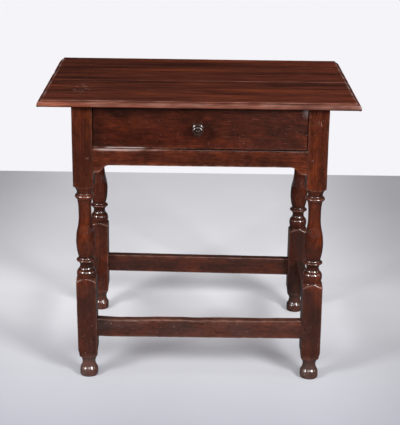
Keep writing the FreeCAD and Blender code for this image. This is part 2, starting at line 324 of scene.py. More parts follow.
def board_sections(span, extra):
    """Places of a board's sections along its run, and how far each is drawn in by the rounded ends."""
    count = max(int(round((span[1] - span[0]) / board_step)), 2)
    even = np.linspace(span[0] + end_round, span[1] - end_round, count)
    inner = np.sort(np.concatenate([even, extra]))
    turn = np.linspace(0, quarter_turn, arc_points)[:-1]
    reach = end_round * (1 - np.cos(turn))
    drawn = end_round * (1 - np.sin(turn))
    places = np.concatenate([span[0] + reach, inner, span[1] - reach[::-1]])
    inset = np.concatenate([drawn, np.zeros(len(inner)), drawn[::-1]])
    return places, inset


def chipped(places, arris, seed):
    """Radius of the four long edges along a board, worn unevenly, with a few knocks."""
    draw = np.random.default_rng(chip_seed + seed)
    length = places[-1] - places[0]
    radius = np.empty((len(places), 4))
    for edge in range(4):
        radius[:, edge] = arris * (1 + arris_change * rough_line(places, arris_wave, seed, edge))
        for _ in range(int(length / chip_spacing)):
            spot = places[0] + draw.uniform(0, 1) * length
            size = chip_size * draw.uniform(*chip_range)
            radius[:, edge] += chip_depth * draw.uniform(0, 1) ** 2 * bump(places, spot, size)
    return radius


def section_columns(low, high, radius):
    """Points round each section, their outward directions, and how near each is to an edge."""
    arcs = []
    for corner, sides in enumerate(((1, 1), (-1, 1), (-1, -1), (1, -1))):
        tip = np.stack([above if side > 0 else below for below, above, side in zip(low, high, sides)], -1)
        way = directions(np.linspace(0, quarter_turn, arc_points) + corner * quarter_turn)
        arcs.append((tip[:, None] + radius[:, corner, None, None] * (way - sides), way))
    points, ways, nearness = [], [], []
    for (arc, way), (following, _) in zip(arcs, arcs[1:] + arcs[:1]):
        start, end = arc[:, -1:], following[:, :1]
        length = np.median(np.linalg.norm(end - start, axis=-1))
        near = min(edge_band / length, edge_band_share)
        share = np.linspace(near, 1 - near, max(int(round(length / face_step)), 2))[:, None]
        beside = np.zeros(len(share))
        beside[[0, -1]] = beside_edge_wear
        points += [arc, start * (1 - share) + end * share]
        ways += [way, np.repeat(way[-1:], len(share), 0)]
        nearness += [np.ones(arc_points), beside]
    return np.concatenate(points, 1), np.concatenate(ways), np.concatenate(nearness)


def board(node, run, look, seed, span=None, ending="board", arris=board_arris, extra=(),
          shape=None, aging=None):
    """A worn board along one axis, in place of a CAD node and as long as it unless span says more.

    shape changes its bounds and edges along it, aging its surface.
    """
    across = others(run)
    box = corners(node)
    places, inset = board_sections(span or (box[0][run], box[1][run]), extra)
    low, high = ([np.full_like(places, value) for value in corner[across]] for corner in box)
    radius = chipped(places, arris, seed)
    if shape:
        shape(places, low, high, radius)
    flat, ways, nearness = section_columns([line + inset for line in low],
                                           [line - inset for line in high], radius)
    points = np.empty((*flat.shape[:2], 3))
    points[..., run] = places[:, None]
    points[..., across] = flat
    wave = np.full(3, swell_width)
    wave[run] = swell_length
    depth = swell * patches(points, wave, seed) + dent * rough(points, dent_size, seed + 1) ** 2
    points[..., across] -= ways * depth[..., None]
    age = fresh_age(points)
    age["wear"] += nearness * uneven(edge_least, patches(points, edge_patch, seed + 2))
    if aging:
        aging(points, nearness, age)
    add_tube(f"{node}_{ending}", points, run, seed, age, look, node)


# Turned outlines

def arc_between(start, end, tangent_at, step):
    """Points of an arc between two (radius, height) points that runs straight up at one of them."""
    far = start if tangent_at is end else end
    rise, reach = far[1] - tangent_at[1], far[0] - tangent_at[0]
    bend = (rise ** 2 + reach ** 2) / (2 * reach)
    centre = np.array([tangent_at[0] + bend, tangent_at[1]])
    from_angle = math.atan2(start[1] - centre[1], start[0] - centre[0])
    turn = math.atan2(end[1] - centre[1], end[0] - centre[0]) - from_angle
    turn = (turn + math.pi) % (2 * math.pi) - math.pi
    count = max(int(abs(turn * bend) / step), arc_fewest)
    angles = from_angle + turn * np.linspace(0, 1, count + 1)[1:]
    return centre + abs(bend) * directions(angles)


def outline(start, steps, step):
    """Points along an outline of lines, arcs, ogees and beads, as (radius, height)."""
    points = [np.array([start])]
    start = np.array(start)
    for kind, end, *fullest in steps:
        end = np.array(end)
        if kind == "line":
            count = max(int(np.linalg.norm(end - start) / step), 1)
            points.append(start + (end - start) * np.linspace(0, 1, count + 1)[1:, None])
        elif kind == "arrive":
            points.append(arc_between(start, end, end, step))
        elif kind == "leave":
            points.append(arc_between(start, end, start, step))
        elif kind == "ogee":
            turn = (start + end) / 2
            points += [arc_between(start, turn, start, step), arc_between(turn, end, end, step)]
        elif kind == "bead":
            count = max(int(np.linalg.norm(end - start) / step), bead_fewest)
            share = np.linspace(0, 1, count + 1)[1:]
            radius = start[0] * (1 - share) * (1 - 2 * share) + 4 * fullest[0] * share * (1 - share)
            radius += end[0] * share * (2 * share - 1)
            points.append(np.stack([radius, start[1] + (end[1] - start[1]) * share], -1))
        start = end
    return np.concatenate(points)


def sized(shares, base, height, radius):
    """Outline steps at real size, from shares of a height and of a radius."""
    return [(kind, (out * radius, base + up * height), *[share * radius for share in fullest])
            for kind, up, out, *fullest in shares]


def relief(lengths, radius, reach):
    """How far each point of an outline stands out from its neighbours, 1 where it is in full relief."""
    near = bump(lengths[:, None], lengths, reach)
    return (radius - (near * radius).sum(1) / near.sum(1)) / relief_full


# Legs

block_below_stretcher = 0.051
block_above_stretcher = 0.087
block_below_bracket = 0.035
foot_height = stretcher_low[2] - block_below_stretcher
vase_low = stretcher_high[2] + block_above_stretcher
vase_high = rail_low[2] - block_below_bracket

# Kind of step, share of the height, share of half the leg's width and a bead's fullest share
foot_sole_share = 0.854
block_share = 1.48
foot_shares = [
    ("arrive", 0.138, 1.0),
    ("ogee", 0.603, 0.667),
    ("leave", 0.981, block_share),
]
vase_shares = [
    ("line", -0.016, block_share),
    ("line", 0.029, 0.929),
    ("line", 0.051, 0.904),
    ("arrive", 0.098, 0.979),
    ("ogee", 0.184, 0.625),
    ("leave", 0.230, 0.925),
    ("bead", 0.248, 0.9, 0.967),
    ("arrive", 0.273, 0.738),
    ("arrive", 0.426, 0.95),
    ("ogee", 0.693, 0.633),
    ("line", 0.758, 0.633),
    ("leave", 0.863, 0.746),
    ("bead", 0.916, 0.75, 0.958),
    ("line", 0.92, 0.733),
    ("leave", 1.006, block_share),
]
leg_arris = 0.0021
low_end_wear = 0.11
low_end_reach = 0.015
low_arris_growth = 0.0016
turning_blend = 0.0015
out_of_round = 0.006
turning_dent = 0.00022
relief_reach = 0.0075
relief_full = 0.0024
leg_patch = 0.018
leg_least = 0.4
crest_wear = 0.25
upper_corner_kept = 0.6
shoulder_middle = -0.0008
shoulder_width = 0.0034
shoulder_over = 1.06
shoulder_wear = 0.65
shoulder_least = 0.5
shoulder_lift = {"leg_front_left": 0.009, "leg_back_left": 0.006}
# Painted shade on the sides of the turnings, darker where they turn away from the front.
turning_side_shade = 0.4
turning_sides = (0.55, 1.0)


def leg_outline():
    """Outline of the turned foot and vase, with the square blocks between them left wide."""
    vase = sized(vase_shares, vase_low, vase_high - vase_low, leg_half)
    runs = (
        (sized(foot_shares, 0.0, foot_height, leg_half), turning_step),
        (vase[:1], block_step),
        (vase[1:], turning_step),
        ([("line", (block_share * leg_half, leg_top))], block_step),
    )
    points = np.array([[foot_sole_share * leg_half, 0.0]])
    for steps, step in runs:
        points = np.concatenate([points, outline(points[-1], steps, step)[1:]])
    return points


def square_columns():
    """Directions round a leg, closest together near the corners, and how near each is to a corner."""
    flat = np.unique(np.outer((-1, 1), flat_shares))
    side = np.append(np.arctan(flat), math.pi / 4)
    near = np.append(ease(np.abs(flat), near_corner_from, 1.0), 1.0)
    return np.concatenate([side + turn * quarter_turn for turn in range(4)]), np.tile(near, 4)


def square_radius(angles, arris):
    """Distance to the skin of a square leg with rounded corners, in each direction."""
    along = np.abs(np.cos(angles))
    beside = np.abs(np.sin(angles))
    flat = leg_half / np.maximum(along, beside)
    inner = leg_half - arris
    under = np.maximum(arris ** 2 - (inner * (along - beside)) ** 2, 0)
    round_corner = inner * (along + beside) + np.sqrt(under)
    in_corner = flat * np.minimum(along, beside) > inner
    return np.where(in_corner, round_corner, flat)


def lifted_shoulder(height, lift):
    """Radius of the lower block's shoulder where the turner began the vase higher."""
    steps = sized(vase_shares[:2], vase_low + lift, vase_high - vase_low, leg_half)
    (wide, start), (narrow, end) = steps[0][1], steps[1][1]
    radius = np.interp(height, [start, end, end + turning_step], [wide, narrow, 0])
    return radius * (height > foot_height)


def leg(node, seed):
    """A square leg turned to a vase and a ball foot, with worn blocks and softened shoulders."""
    centre = sum(leg_boxes[node]) / 2
    radius, height = leg_outline().T
    if node in shoulder_lift:
        radius = np.maximum(radius, lifted_shoulder(height, shoulder_lift[node]))
    angles, near_corner = square_columns()
    ways = directions(angles)
    arris = chipped(height, leg_arris, seed) + low_arris_growth * fade(height, 0, vase_low)[:, None]
    corner = np.round((angles - math.pi / 4) / quarter_turn).astype(int) % 4
    square = square_radius(angles, arris[:, corner])
    square *= 1 - low_end_wear * fade(height, foot_height, foot_height + low_end_reach)[:, None]
    turned = radius[:, None] * (1 + out_of_round * np.cos(2 * (angles - seed)))
    is_block = ease(turned - square, 0, turning_blend)
    points = lathed(soft_min(square, turned, turning_blend), ways, height, centre, 2)
    depth = swell * patches(points, (swell_width, swell_width, swell_length), seed) * is_block
    depth += turning_dent * rough(points, dent_size, seed + 1)
    points[..., :2] -= depth[..., None] * ways
    age = fresh_age(points)
    patchy = patches(points, leg_patch, seed + 2)
    stands = relief(height, np.minimum(radius, leg_half), relief_reach)[:, None]
    crest = np.clip(stands, 0, 1) * (1 - is_block)
    kept = upper_corner_kept * ease(height, vase_low, vase_high)[:, None]
    corner_wear = near_corner * is_block * (1 - kept)
    age["wear"] = np.maximum(corner_wear, crest_wear * crest) * uneven(leg_least, patchy)
    shoulder = bump(turned - square, shoulder_middle, shoulder_width)
    shoulder *= ease(radius, leg_half, shoulder_over * leg_half)[:, None]
    at_least(age, "wear", shoulder_wear * shoulder * uneven(shoulder_least, patchy))
    # Painted shade on the turnings' sides, in the grime channel with the dirt in their hollows.
    aside = turning_side_shade * ease(np.abs(ways[:, 0]), *turning_sides)
    age["grime"] = np.maximum(np.clip(-stands, 0, 1), aside) * (1 - is_block)
    leg_marks(node, points, age)
    add_tube(f"{node}_turned", points, 2, seed, age, "oak_legs", node)


# Grime of each leg, on its vase and upper block and below them
leg_grime = {
    "leg_front_left": (0.46, 0.5),
    "leg_front_right": (0.08, 0.72),
    "leg_back_left": (0.0, 0.06),
    "leg_back_right": (0.6, 0.8),
}
leg_grime_noise = ((0.03, 0.03, 0.06), 31)
leg_grime_least = 0.5
vase_foot = (vase_low - 0.01, vase_low + 0.01)
vase_head = (vase_high - 0.02, vase_high)
vase_polish = 0.7
low_scuff = 0.35
low_scuff_heights = (0.05, 0.2)
foot_heights = (0.045, 0.066)
foot_wear_and_reflection = 0.42
foot_dust_and_reflection = (0.02, 0.06)
back_foot_share = 0.4
lower_dust = 0.012
scratch_centre = (0.276, 0.655)
scratch_size = (0.018, 0.026)
scratch_depths = (-0.220, -0.217)


def leg_marks(node, points, age):
    """Grime, dusty worn feet whose paleness also paints the floor's reflection, scuffed lower ends, and
    scratches high on the right front leg.
    """
    x, y, z = np.moveaxis(points, -1, 0)
    age["scuff"] = low_scuff * fade(z, *low_scuff_heights)
    upper, lower = leg_grime[node]
    is_upper = ease(z, *vase_foot)
    patchy = patches(points, *leg_grime_noise)
    base = upper * is_upper + lower * (1 - is_upper)
    base *= 1 - vase_polish * is_upper * fade(z, *vase_head)
    at_least(age, "grime", base * (leg_grime_least + patchy))
    on_foot = fade(z, *foot_heights)
    if "back" in node:
        on_foot *= back_foot_share
    # The feet's wear and dust also paint in the floor's reflection.
    at_least(age, "wear", foot_wear_and_reflection * on_foot * uneven(leg_least, patchy))
    age["bare"] = on_foot * (foot_dust_and_reflection[0] + foot_dust_and_reflection[1] * patchy)
    age["bare"] += lower_dust * (1 - is_upper) * patchy
    if node == "leg_front_right":
        age["scuff"] += fade(y, *scratch_depths) * spot_on(x, z, scratch_centre, scratch_size)


# Top

# Distance in from the edge, drop below the surface and wear, from the inside outwards. The wear also paints
# the moulding's highlights: pale lines at the small step and a pale ovolo.
moulding_profile = [
    (0.0140, 0.0, 0.0),
    (0.0112, 0.00005, 0.7),
    (0.0094, 0.0003, 1.0),
    (0.0089, 0.0009, 0.9),
    (0.0087, 0.0016, 0.3),
    (0.0082, 0.0020, 0.0),
    (0.0070, 0.0021, 0.15),
]
seam_profile = [
    (0.0040, 0.0, 0.0),
    (0.0018, 0.00015, 0.3),
    (0.0008, 0.0006, 0.8),
    (0.0002, 0.0014, 0.7),
]
ovolo_reach = 0.0063
ovolo_start = 0.0021
ovolo_drop = 0.0098
ovolo_points = 8
# Wear along the ovolo, partly a painted highlight of its sheen.
ovolo_wear_and_sheen = (0.32, 0.36)
side_shares = (0.2, 0.45, 0.7, 0.88)
side_insets = (0.0, 0.0005, 0.0017, 0.0034)
under_inset = 0.0058
side_wear = 0.2
top_patch = 0.03
top_least = 0.3
groove_reach = 0.0008
# Dirt and painted shade in the moulding's groove, and painted shade on the lower sides and underside of the
# top.
groove_dirt_and_shade = 0.3
lower_edge_shade = 0.7


def moulded_profile():
    """The moulding's small step, then the ovolo below it."""
    turn = np.linspace(0, quarter_turn, ovolo_points)[1:]
    ovolo = np.stack([ovolo_reach * (1 - np.sin(turn)), ovolo_start + ovolo_drop * (1 - np.cos(turn)),
                      ovolo_wear_and_sheen[0] + ovolo_wear_and_sheen[1] * np.sin(2 * turn)], -1)
    return np.concatenate([moulding_profile, ovolo])


def edged_lines(low, high, low_profile, high_profile):
    """Grid lines between two edges: places, drop and wear at each line, the wear on the moulding partly a
    painted highlight.
    """
    first = low + low_profile[::-1, 0]
    last = high - high_profile[:, 0]
    count = max(int(round((last[0] - first[-1]) / top_step)), 2)
    middle = np.linspace(first[-1], last[0], count + 1)[1:-1]
    plain = np.zeros(len(middle))
    places = np.concatenate([first, middle, last])
    drop, wear = (np.concatenate([low_profile[::-1, row], plain, high_profile[:, row]]) for row in (1, 2))
    return places, drop, wear


def top_board(node, seam_at_back, seed):
    """One board of the top, moulded on three edges and rounded over at the seam."""
    low, high = corners(node)
    moulded, seam = moulded_profile(), np.array(seam_profile)
    x, drop_x, wear_and_sheen_x = edged_lines(low[0], high[0], moulded, moulded)
    y_profiles = (moulded, seam) if seam_at_back else (seam, moulded)
    y, drop_y, wear_and_sheen_y = edged_lines(low[1], high[1], *y_profiles)
    drop = np.maximum(drop_x[:, None], drop_y)
    sheet = np.stack([*np.meshgrid(x, y, indexing="ij"), high[2] - drop], -1)
    rim = rim_indices(len(x), len(y))
    edge = sheet.reshape(-1, 3)[rim]
    outward = np.stack([(place == last) * 1 - (place == 0) * 1 for place, last in
                        ((rim // len(y), len(x) - 1), (rim % len(y), len(y) - 1))], -1)
    rings = []
    for share, inset in zip(side_shares, side_insets):
        ring = edge.copy()
        ring[:, 2] += share * (low[2] - edge[:, 2])
        ring[:, :2] -= outward * inset
        rings.append(ring)
    under = sheet.copy()
    narrower = 1 - 2 * under_inset / (high - low)[:2]
    under[..., :2] = low[:2] + under_inset + (sheet[..., :2] - low[:2]) * narrower
    under[..., 2] = low[2]
    points = np.concatenate([sheet.reshape(-1, 3), *rings, under.reshape(-1, 3)])
    upper, ring_end = drop.size, drop.size + len(rim)
    wear, groove_and_under_shade = np.zeros((2, len(points)))
    wear[:upper] = np.where(drop_x[:, None] >= drop_y, wear_and_sheen_x[:, None], wear_and_sheen_y).ravel()
    wear[upper:ring_end] = side_wear
    groove_and_under_shade[:upper] = groove_dirt_and_shade * bump(drop, ovolo_start, groove_reach).ravel()
    # Painted shade on the lower part of the top's sides and underneath.
    groove_and_under_shade[ring_end:] = lower_edge_shade
    points = worn_top(points, low, high, seed)
    age = fresh_age(points)
    age["wear"] = wear * uneven(top_least, patches(points, top_patch, seed + 2))
    top_marks(points, age, groove_and_under_shade, seam_at_back)
    faces = top_faces(len(x), len(y), rim, len(rings))
    add_piece(f"{node}_moulded", points, faces, wood_coordinates(points, 0, seed), age, "oak_top", node)


def rim_indices(rows, columns):
    """Numbers of the outer points of a grid, in order round it."""
    grid = np.arange(rows * columns).reshape(rows, columns)
    return np.concatenate([grid[:-1, 0], grid[-1, :-1], grid[:0:-1, -1], grid[0, :0:-1]])


def top_faces(rows, columns, rim, ring_count):
    """Faces of the upper sheet, the rings down the sides and the under sheet."""
    size = rows * columns
    upper = grid_faces(rows, columns, False)
    lower_start = size + ring_count * len(rim)
    lower = [[index + lower_start for index in face] for face in upper]
    rings = [size + ring * len(rim) + np.arange(len(rim)) for ring in range(ring_count)]
    loops = [rim, *rings, rim + lower_start]
    sides = []
    for above, below in zip(loops, loops[1:]):
        sides += np.stack([above, below, np.roll(below, -1), np.roll(above, -1)], -1).tolist()
    return upper + lower + sides


top_swell = 0.0009
top_swell_size = (0.30, 0.07, 1.0)
edge_reach = 0.016
edge_nick = 0.0016
edge_nick_size = 0.035
nick_place = 0.075
nick_length = 0.012
nick_depth = 0.0035
worn_corner = (0.013, 0.040)


def worn_top(points, low, high, seed):
    """Hollows in the surface, uneven edges, a nick on the left and two worn back corners."""
    worn = points.copy()
    lift = ease(points[:, 2], low[2], high[2])
    worn[:, 2] -= top_swell * patches(points, top_swell_size, seed) * lift
    worn[:, 2] -= dent * np.abs(rough(points, dent_size, seed + 1)) * lift
    for axis, sign in ((0, -1), (0, 1), (1, -1), (1, 1)):
        limit, top_limit = (high, top_high) if sign > 0 else (low, top_low)
        if abs(limit[axis] - top_limit[axis]) > weld:
            continue
        near = np.exp(-np.abs(points[:, axis] - limit[axis]) / edge_reach)
        row = (axis + sign) / edge_nick_size
        nick = np.clip(rough_line(points[:, 1 - axis], edge_nick_size, seed + 3, row), 0, 1)
        nick = edge_nick * nick ** 2
        if (axis, sign) == (0, -1):
            nick += nick_depth * bump(points[:, 1], nick_place, nick_length)
        worn[:, axis] -= sign * nick * near
    for side, corner_x in ((-1, top_low[0]), (1, top_high[0])):
        beside = side * (corner_x - points[:, 0]) / worn_corner[0]
        behind = (top_high[1] - points[:, 1]) / worn_corner[1]
        past = np.clip(1 - beside - behind, 0, None) / 2
        worn[:, 0] -= side * past * worn_corner[0]
        worn[:, 1] -= past * worn_corner[1]
    return worn


top_scuff = 0.95
scuffed_left = (-0.275, -0.12)
scuffed_size = (0.034, 0.075)
tone_noise = ((0.12, 0.03, 0.03), 33)
tone_least = 0.5
dark_left = 0.3
dark_left_span = (-0.22, 0.12)
dark_left_depths = (-0.2, -0.05)
dark_wear_limit = 0.2
seam_front = corners("top_board_front")[1][1]
seam_back = corners("top_board_back")[0][1]
seam_right = (-0.05, 0.06)
seam_dirt = 0.8
seam_dirt_width = 0.012
seam_unworn = 0.8
seam_rub = 0.6
seam_rub_least = 0.4
seam_worn_width = 0.005
end_bare = 0.5
end_bare_reach = 0.013
end_bare_full = 0.8
end_noise = (0.012, 36)
end_broken = (-0.4, 0.5)
end_wear = (0.2, 0.6)
corner_bare = 0.6
corner_bare_span = (top_high[0] - 0.07, top_high[0] - 0.01)


def top_marks(points, age, groove_and_under_shade, seam_at_back):
    """Scuffs and a darker tone on the left, bare ends, dirt along the seam, dirt and painted shade in the
    moulding's groove, and painted shade under the edges.
    """
    x, y, z = points.T
    age["scuff"] = top_scuff * spot_on(x, y, scuffed_left, scuffed_size)
    patchy = patches(points, *tone_noise)
    dark = dark_left * fade(x, *dark_left_span) * ease(y, *dark_left_depths) * (tone_least + patchy)
    seam_y = seam_front if seam_at_back else seam_back
    rightward = ease(x, *seam_right)
    near_seam = bump(y, seam_y, seam_dirt_width)
    age["wear"] *= 1 - seam_unworn * near_seam * (1 - rightward)
    if seam_at_back:
        dark = np.maximum(dark, seam_dirt * near_seam * rightward)
    else:
        rubbed = seam_rub * bump(y, seam_y, seam_worn_width) * rightward * (z > top_low[2] + weld)
        at_least(age, "wear", rubbed * uneven(seam_rub_least, patchy))
    age["grime"] = np.maximum(dark * (age["wear"] < dark_wear_limit), groove_and_under_shade)
    from_end = np.minimum(x - top_low[0], top_high[0] - x)
    pale = fade(from_end, end_bare_full * end_bare_reach, end_bare_reach)
    corner = corner_bare * ease(x, *corner_bare_span) * (y < top_low[1] + end_bare_reach)
    broken = ease(rough(points, *end_noise), *end_broken)
    age["bare"] = end_bare * np.maximum(pale, corner) * ease(age["wear"], *end_wear) * broken


# Frame boards

bracket_drop = 0.018
bracket_width = 0.036
bracket_flat = 0.007
bracket_share_span = (0.1, 1.05)
bracket_sections = 30
bare_width = 0.0024
# How strongly the rail's upper edge is rubbed, and where the rubbing begins and ends
bare_lengths = (
    (0.25, (-0.242, -0.240), (-0.130, -0.120)),
    (0.75, (-0.242, -0.210), (-0.160, -0.120)),
    (0.4, (-0.110, -0.106), (-0.086, -0.082)),
)
bare_from = (0.12, 0.7)
bare_top = (1.15, 0.8)
bare_front = 1.8
bare_noise = ((0.03, 0.004, 0.004), 5)
bare_broken = (-0.6, 0.0)
rail_bare = (0.12, 0.3)
# Painted shadow of the gap under the drawer, along the right part of the rail's upper edge.
gap_heights = (rail_high[2] - 0.003, rail_high[2] - 0.001)
gap_right = (-0.08, -0.05)
gap_shade = 0.7


def bared(along):
    """How far the rail's upper edge is rubbed away along it."""
    return sum(share * within(along, rise, fall) for share, rise, fall in bare_lengths)


def bracket_shape(places, low, high, radius):
    """The ogee bracket left below each end of the front rail, and the worn upper edge."""
    share = np.clip((from_legs(places) - bracket_flat) / (bracket_width - bracket_flat), 0, 1)
    ogee = np.where(share < 0.5, 2 * share ** 2, 1 - 2 * (1 - share) ** 2)
    low[1] += bracket_drop * ogee
    radius[:, 1] += bare_width * bared(places)


def bare_edge(points, nearness, age):
    """Pale bare wood where the drawer has rubbed the rail, and a painted shadow of the gap beside it."""
    x, y, z = np.moveaxis(points, -1, 0)
    worn = bared(x)
    depth = board_arris + bare_width * worn
    on_top = ease(z, *(rail_high[2] - share * depth for share in bare_top))
    front = fade(y, rail_low[1] + depth, rail_low[1] + bare_front * depth)
    patch = ease(rough(points, *bare_noise), *bare_broken)
    age["bare"] = ease(worn, *bare_from) * on_top * front * (rail_bare[0] + rail_bare[1] * patch)
    gap_shadow = ease(z, *gap_heights) * ease(x, *gap_right)
    age["wear"] *= 1 - gap_shadow
    age["grime"] = gap_shade * gap_shadow


hollow_depth = 0.0035
hollow_least = 0.45
hollow_place = (-0.15, 0.14)
hollow_noise = (0.05, 8)
hollow_end = 0.05
stretcher_worn_edge = 0.0035
back_edge_share = 0.5
feet_heights = (stretcher_high[2] - 0.016, stretcher_high[2])
feet_noise = (0.03, 12)
feet_rub = 0.6
stretcher_noise = ((0.05, 0.02, 0.02), 35)
stretcher_grime = (0.15, 0.4)
stretcher_dust = 0.045
dark_stretcher = 0.6
dark_stretcher_span = (inner_left + 0.005, inner_left + 0.05)
stretcher_scuff = (0.25, 0.38)
kicked_place = (-0.14, 0.07)
kicked_heights = (stretcher_high[2] - 0.022, stretcher_high[2] - 0.012)
kicked_depth = 0.004
back_stretcher_grime = (0.3, 0.3)
back_stretcher_span = (-0.22, -0.1)
back_stretcher_dust = 0.015
side_stretcher_wear = 0.3
side_stretcher_shade = 0.5


def hollowed(places, low, high, radius):
    """The front stretcher's upper edge, hollowed and rounded by feet, most of all near its left end."""
    spread = uneven(hollow_least, bump(places, *hollow_place))
    ragged = spread * (0.5 + 0.5 * rough_line(places, *hollow_noise))
    high[1] -= hollow_depth * ragged * ease(from_legs(places), 0, hollow_end)
    radius[:, 1] += stretcher_worn_edge * ragged
    radius[:, 0] += back_edge_share * stretcher_worn_edge * spread


def feet_wear(points, nearness, age):
    """Worn and scuffed where feet have rested."""
    x, y, z = np.moveaxis(points, -1, 0)
    upper = ease(z, *feet_heights)
    at_least(age, "wear", feet_rub * upper * patches(points, *feet_noise))
    patchy = patches(points, *stretcher_noise)
    age["grime"] = stretcher_grime[0] + stretcher_grime[1] * patchy
    age["grime"] += dark_stretcher * fade(x, *dark_stretcher_span)
    age["bare"] = stretcher_dust * patchy * (1 - upper)
    kicked = bump(x, *kicked_place) * ease(z, *kicked_heights) * (y < stretcher_low[1] + kicked_depth)
    age["scuff"] = stretcher_scuff[0] + stretcher_scuff[1] * kicked


def dusk(points, nearness, age):
    """The back stretcher is darker, most of all at its left end."""
    leftward = fade(points[..., 0], *back_stretcher_span)
    age["grime"] = back_stretcher_grime[0] + back_stretcher_grime[1] * leftward
    age["bare"] += back_stretcher_dust


def shaded(points, nearness, age):
    """The side stretchers are painted dark, as in shade, and little worn."""
    age["wear"] *= side_stretcher_wear
    # Painted shade over the whole of each side stretcher.
    age["grime"] += side_stretcher_shade


def frame_board(node, run, seed, **changes):
    """A rail or stretcher between the faces of two legs."""
    faces = (inner_left, inner_right) if run == 0 else (inner_front, inner_back)
    board(node, run, "oak_frame", seed, span=(faces[0] - tuck, faces[1] + tuck), **changes)


def either_side(places):
    """Sections close to each side of each place, where a board's shape steps."""
    return [place + shift for place in places for shift in (-weld, weld)]


# Drawer

front_low, front_high = corners("drawer_front")
side_low, side_high = corners("drawer_side_left")
side_thickness = side_high[0] - side_low[0]
lining_runs = {
    "drawer_side_left": 1,
    "drawer_side_right": 1,
    "drawer_back": 0,
    "drawer_bottom_left": 1,
    "drawer_bottom_middle": 1,
    "drawer_bottom_right": 1,
}
drawer_arris = 0.0022
front_right = (-0.05, 0.2)
end_ragged = 0.012
end_ragged_noise = (0.03, 9)
dark_end = 0.42
dark_end_span = (0.0132, 0.0352)
dark_end_limit = 0.5
# Painted shade under the top's overhang: deepest at the drawer front's upper edge, fading downwards and
# towards the right.
drawer_top_shade = 0.5
drawer_top_shade_reach = 0.07
right_less_shade = 0.6
upper_edge_shade = 0.45
upper_edge_span = (0.002, 0.012)
lower_edge_kept = 0.75
lower_edge_right = (-0.1, 0.0)
lower_edge_span = (0.08, 0.095)
pale_corner = (0.246, 0.681)
pale_corner_size = (0.007, 0.013)
pale_corner_bare = 0.62
rubbed_span = ((-0.216, -0.206), (-0.130, -0.118))
rubbed_heights = (front_low[2] + 0.0015, front_low[2] + 0.003)
rubbed_bare = 0.95
drawer_dust = 0.010
drawer_scuff = (0.12, 0.43)


def lapped(places, low, high, radius):
    """The drawer front is thinner at each end, where the sides lap into it."""
    from_end = np.minimum(places - front_low[0], front_high[0] - places)
    high[0][from_end < side_thickness] = side_low[1]


def drawer_front_age(points, nearness, age):
    """Dark left end, painted shade under the top's overhang that is deepest at the upper edge and lighter to
    the right, a pale corner, a rubbed lower edge and light scuffs.
    """
    x, _, z = np.moveaxis(points, -1, 0)
    from_left = x - front_low[0] + end_ragged * rough(points, *end_ragged_noise)
    from_top = front_high[2] - z
    rightward = ease(x, *front_right)
    by_edge = fade(from_top, *upper_edge_span)
    dark = dark_end * fade(from_left, *dark_end_span)
    # Painted shadow of the top's overhang on the upper part of the drawer front.
    upper = drawer_top_shade * (1 - right_less_shade * rightward) * fade(from_top, 0, drawer_top_shade_reach)
    on_face = nearness < dark_end_limit
    age["grime"] = np.maximum(dark * on_face, upper + upper_edge_shade * by_edge)
    age["wear"] *= 1 - by_edge
    age["wear"] *= 1 - lower_edge_kept * ease(x, *lower_edge_right) * ease(from_top, *lower_edge_span)
    pale = pale_corner_bare * spot_on(x, z, pale_corner, pale_corner_size)
    rubbed = rubbed_bare * within(x, *rubbed_span) * fade(z, *rubbed_heights)
    age["bare"] = np.maximum(pale + drawer_dust * rightward, rubbed)
    age["scuff"] = drawer_scuff[0] + drawer_scuff[1] * rightward


def drawer(seed):
    """Drawer front, sides, back and three bottom boards."""
    steps = either_side((front_low[0] + side_thickness, front_high[0] - side_thickness))
    board("drawer_front", 0, "oak_drawer_front", seed, arris=drawer_arris, extra=steps, shape=lapped,
          aging=drawer_front_age)
    for lining_seed, (node, run) in enumerate(lining_runs.items(), seed + 1):
        board(node, run, "oak_drawer_lining", lining_seed, arris=lining_arris)


def round_legs(places, low, high, radius):
    """The runners are narrower beside the legs."""
    beside_leg = (places < inner_front) | (places > inner_back)
    low[0][beside_leg] = np.maximum(low[0][beside_leg], inner_left)
    high[0][beside_leg] = np.minimum(high[0][beside_leg], inner_right)


def runners(first_seed):
    """Runners fitted round the legs, and the guides on them."""
    for seed, side in enumerate(("left", "right"), first_seed):
        board(f"drawer_runner_{side}", 1, "oak_runners", seed, arris=lining_arris,
              extra=either_side((inner_front, inner_back)), shape=round_legs)
        board(f"drawer_guide_{side}", 1, "oak_runners", seed + 2, ending="strip", arris=lining_arris)


# Knob

knob_base_share = 0.92
knob_shares = [
    ("bead", 0.14, 0.76, 0.98),
    ("arrive", 0.38, 0.48),
    ("ogee", 0.66, 1.0),
    ("leave", 0.88, 0.6),
    ("line", 0.86, 0.36),
    ("arrive", 0.93, 0.3),
    ("line", 1.0, 0.14),
    ("line", 1.0, 0.02),
]
knob_relief_reach = relief_reach / 2


def knob(seed):
    """The turned knob on the drawer front."""
    low, high = corners("drawer_knob")
    middle = (low + high) / 2
    radius = (high[0] - low[0]) / 2
    base = knob_base_share * radius
    steps = [("line", (base, 0.0))] + sized(knob_shares, 0.0, front_low[1] - low[1], radius)
    line = outline((base, -2 * tuck), steps, knob_step)
    angles = circle(lathe_columns)
    reach = line[:, :1] * (1 + out_of_round * np.cos(2 * angles + 1))
    points = lathed(reach, directions(angles), front_low[1] - line[:, 1], middle, 1)
    lengths = np.append(0, np.cumsum(np.linalg.norm(np.diff(line, axis=0), axis=1)))
    stands = relief(lengths, line[:, 0], knob_relief_reach)[:, None]
    age = fresh_age(points)
    age["wear"] += np.clip(stands, 0, 1)
    age["grime"] += np.clip(-stands, 0, 1)
    add_tube("drawer_knob_turned", points, 1, seed, age, "knob_wood", "drawer_knob")


# Pegs

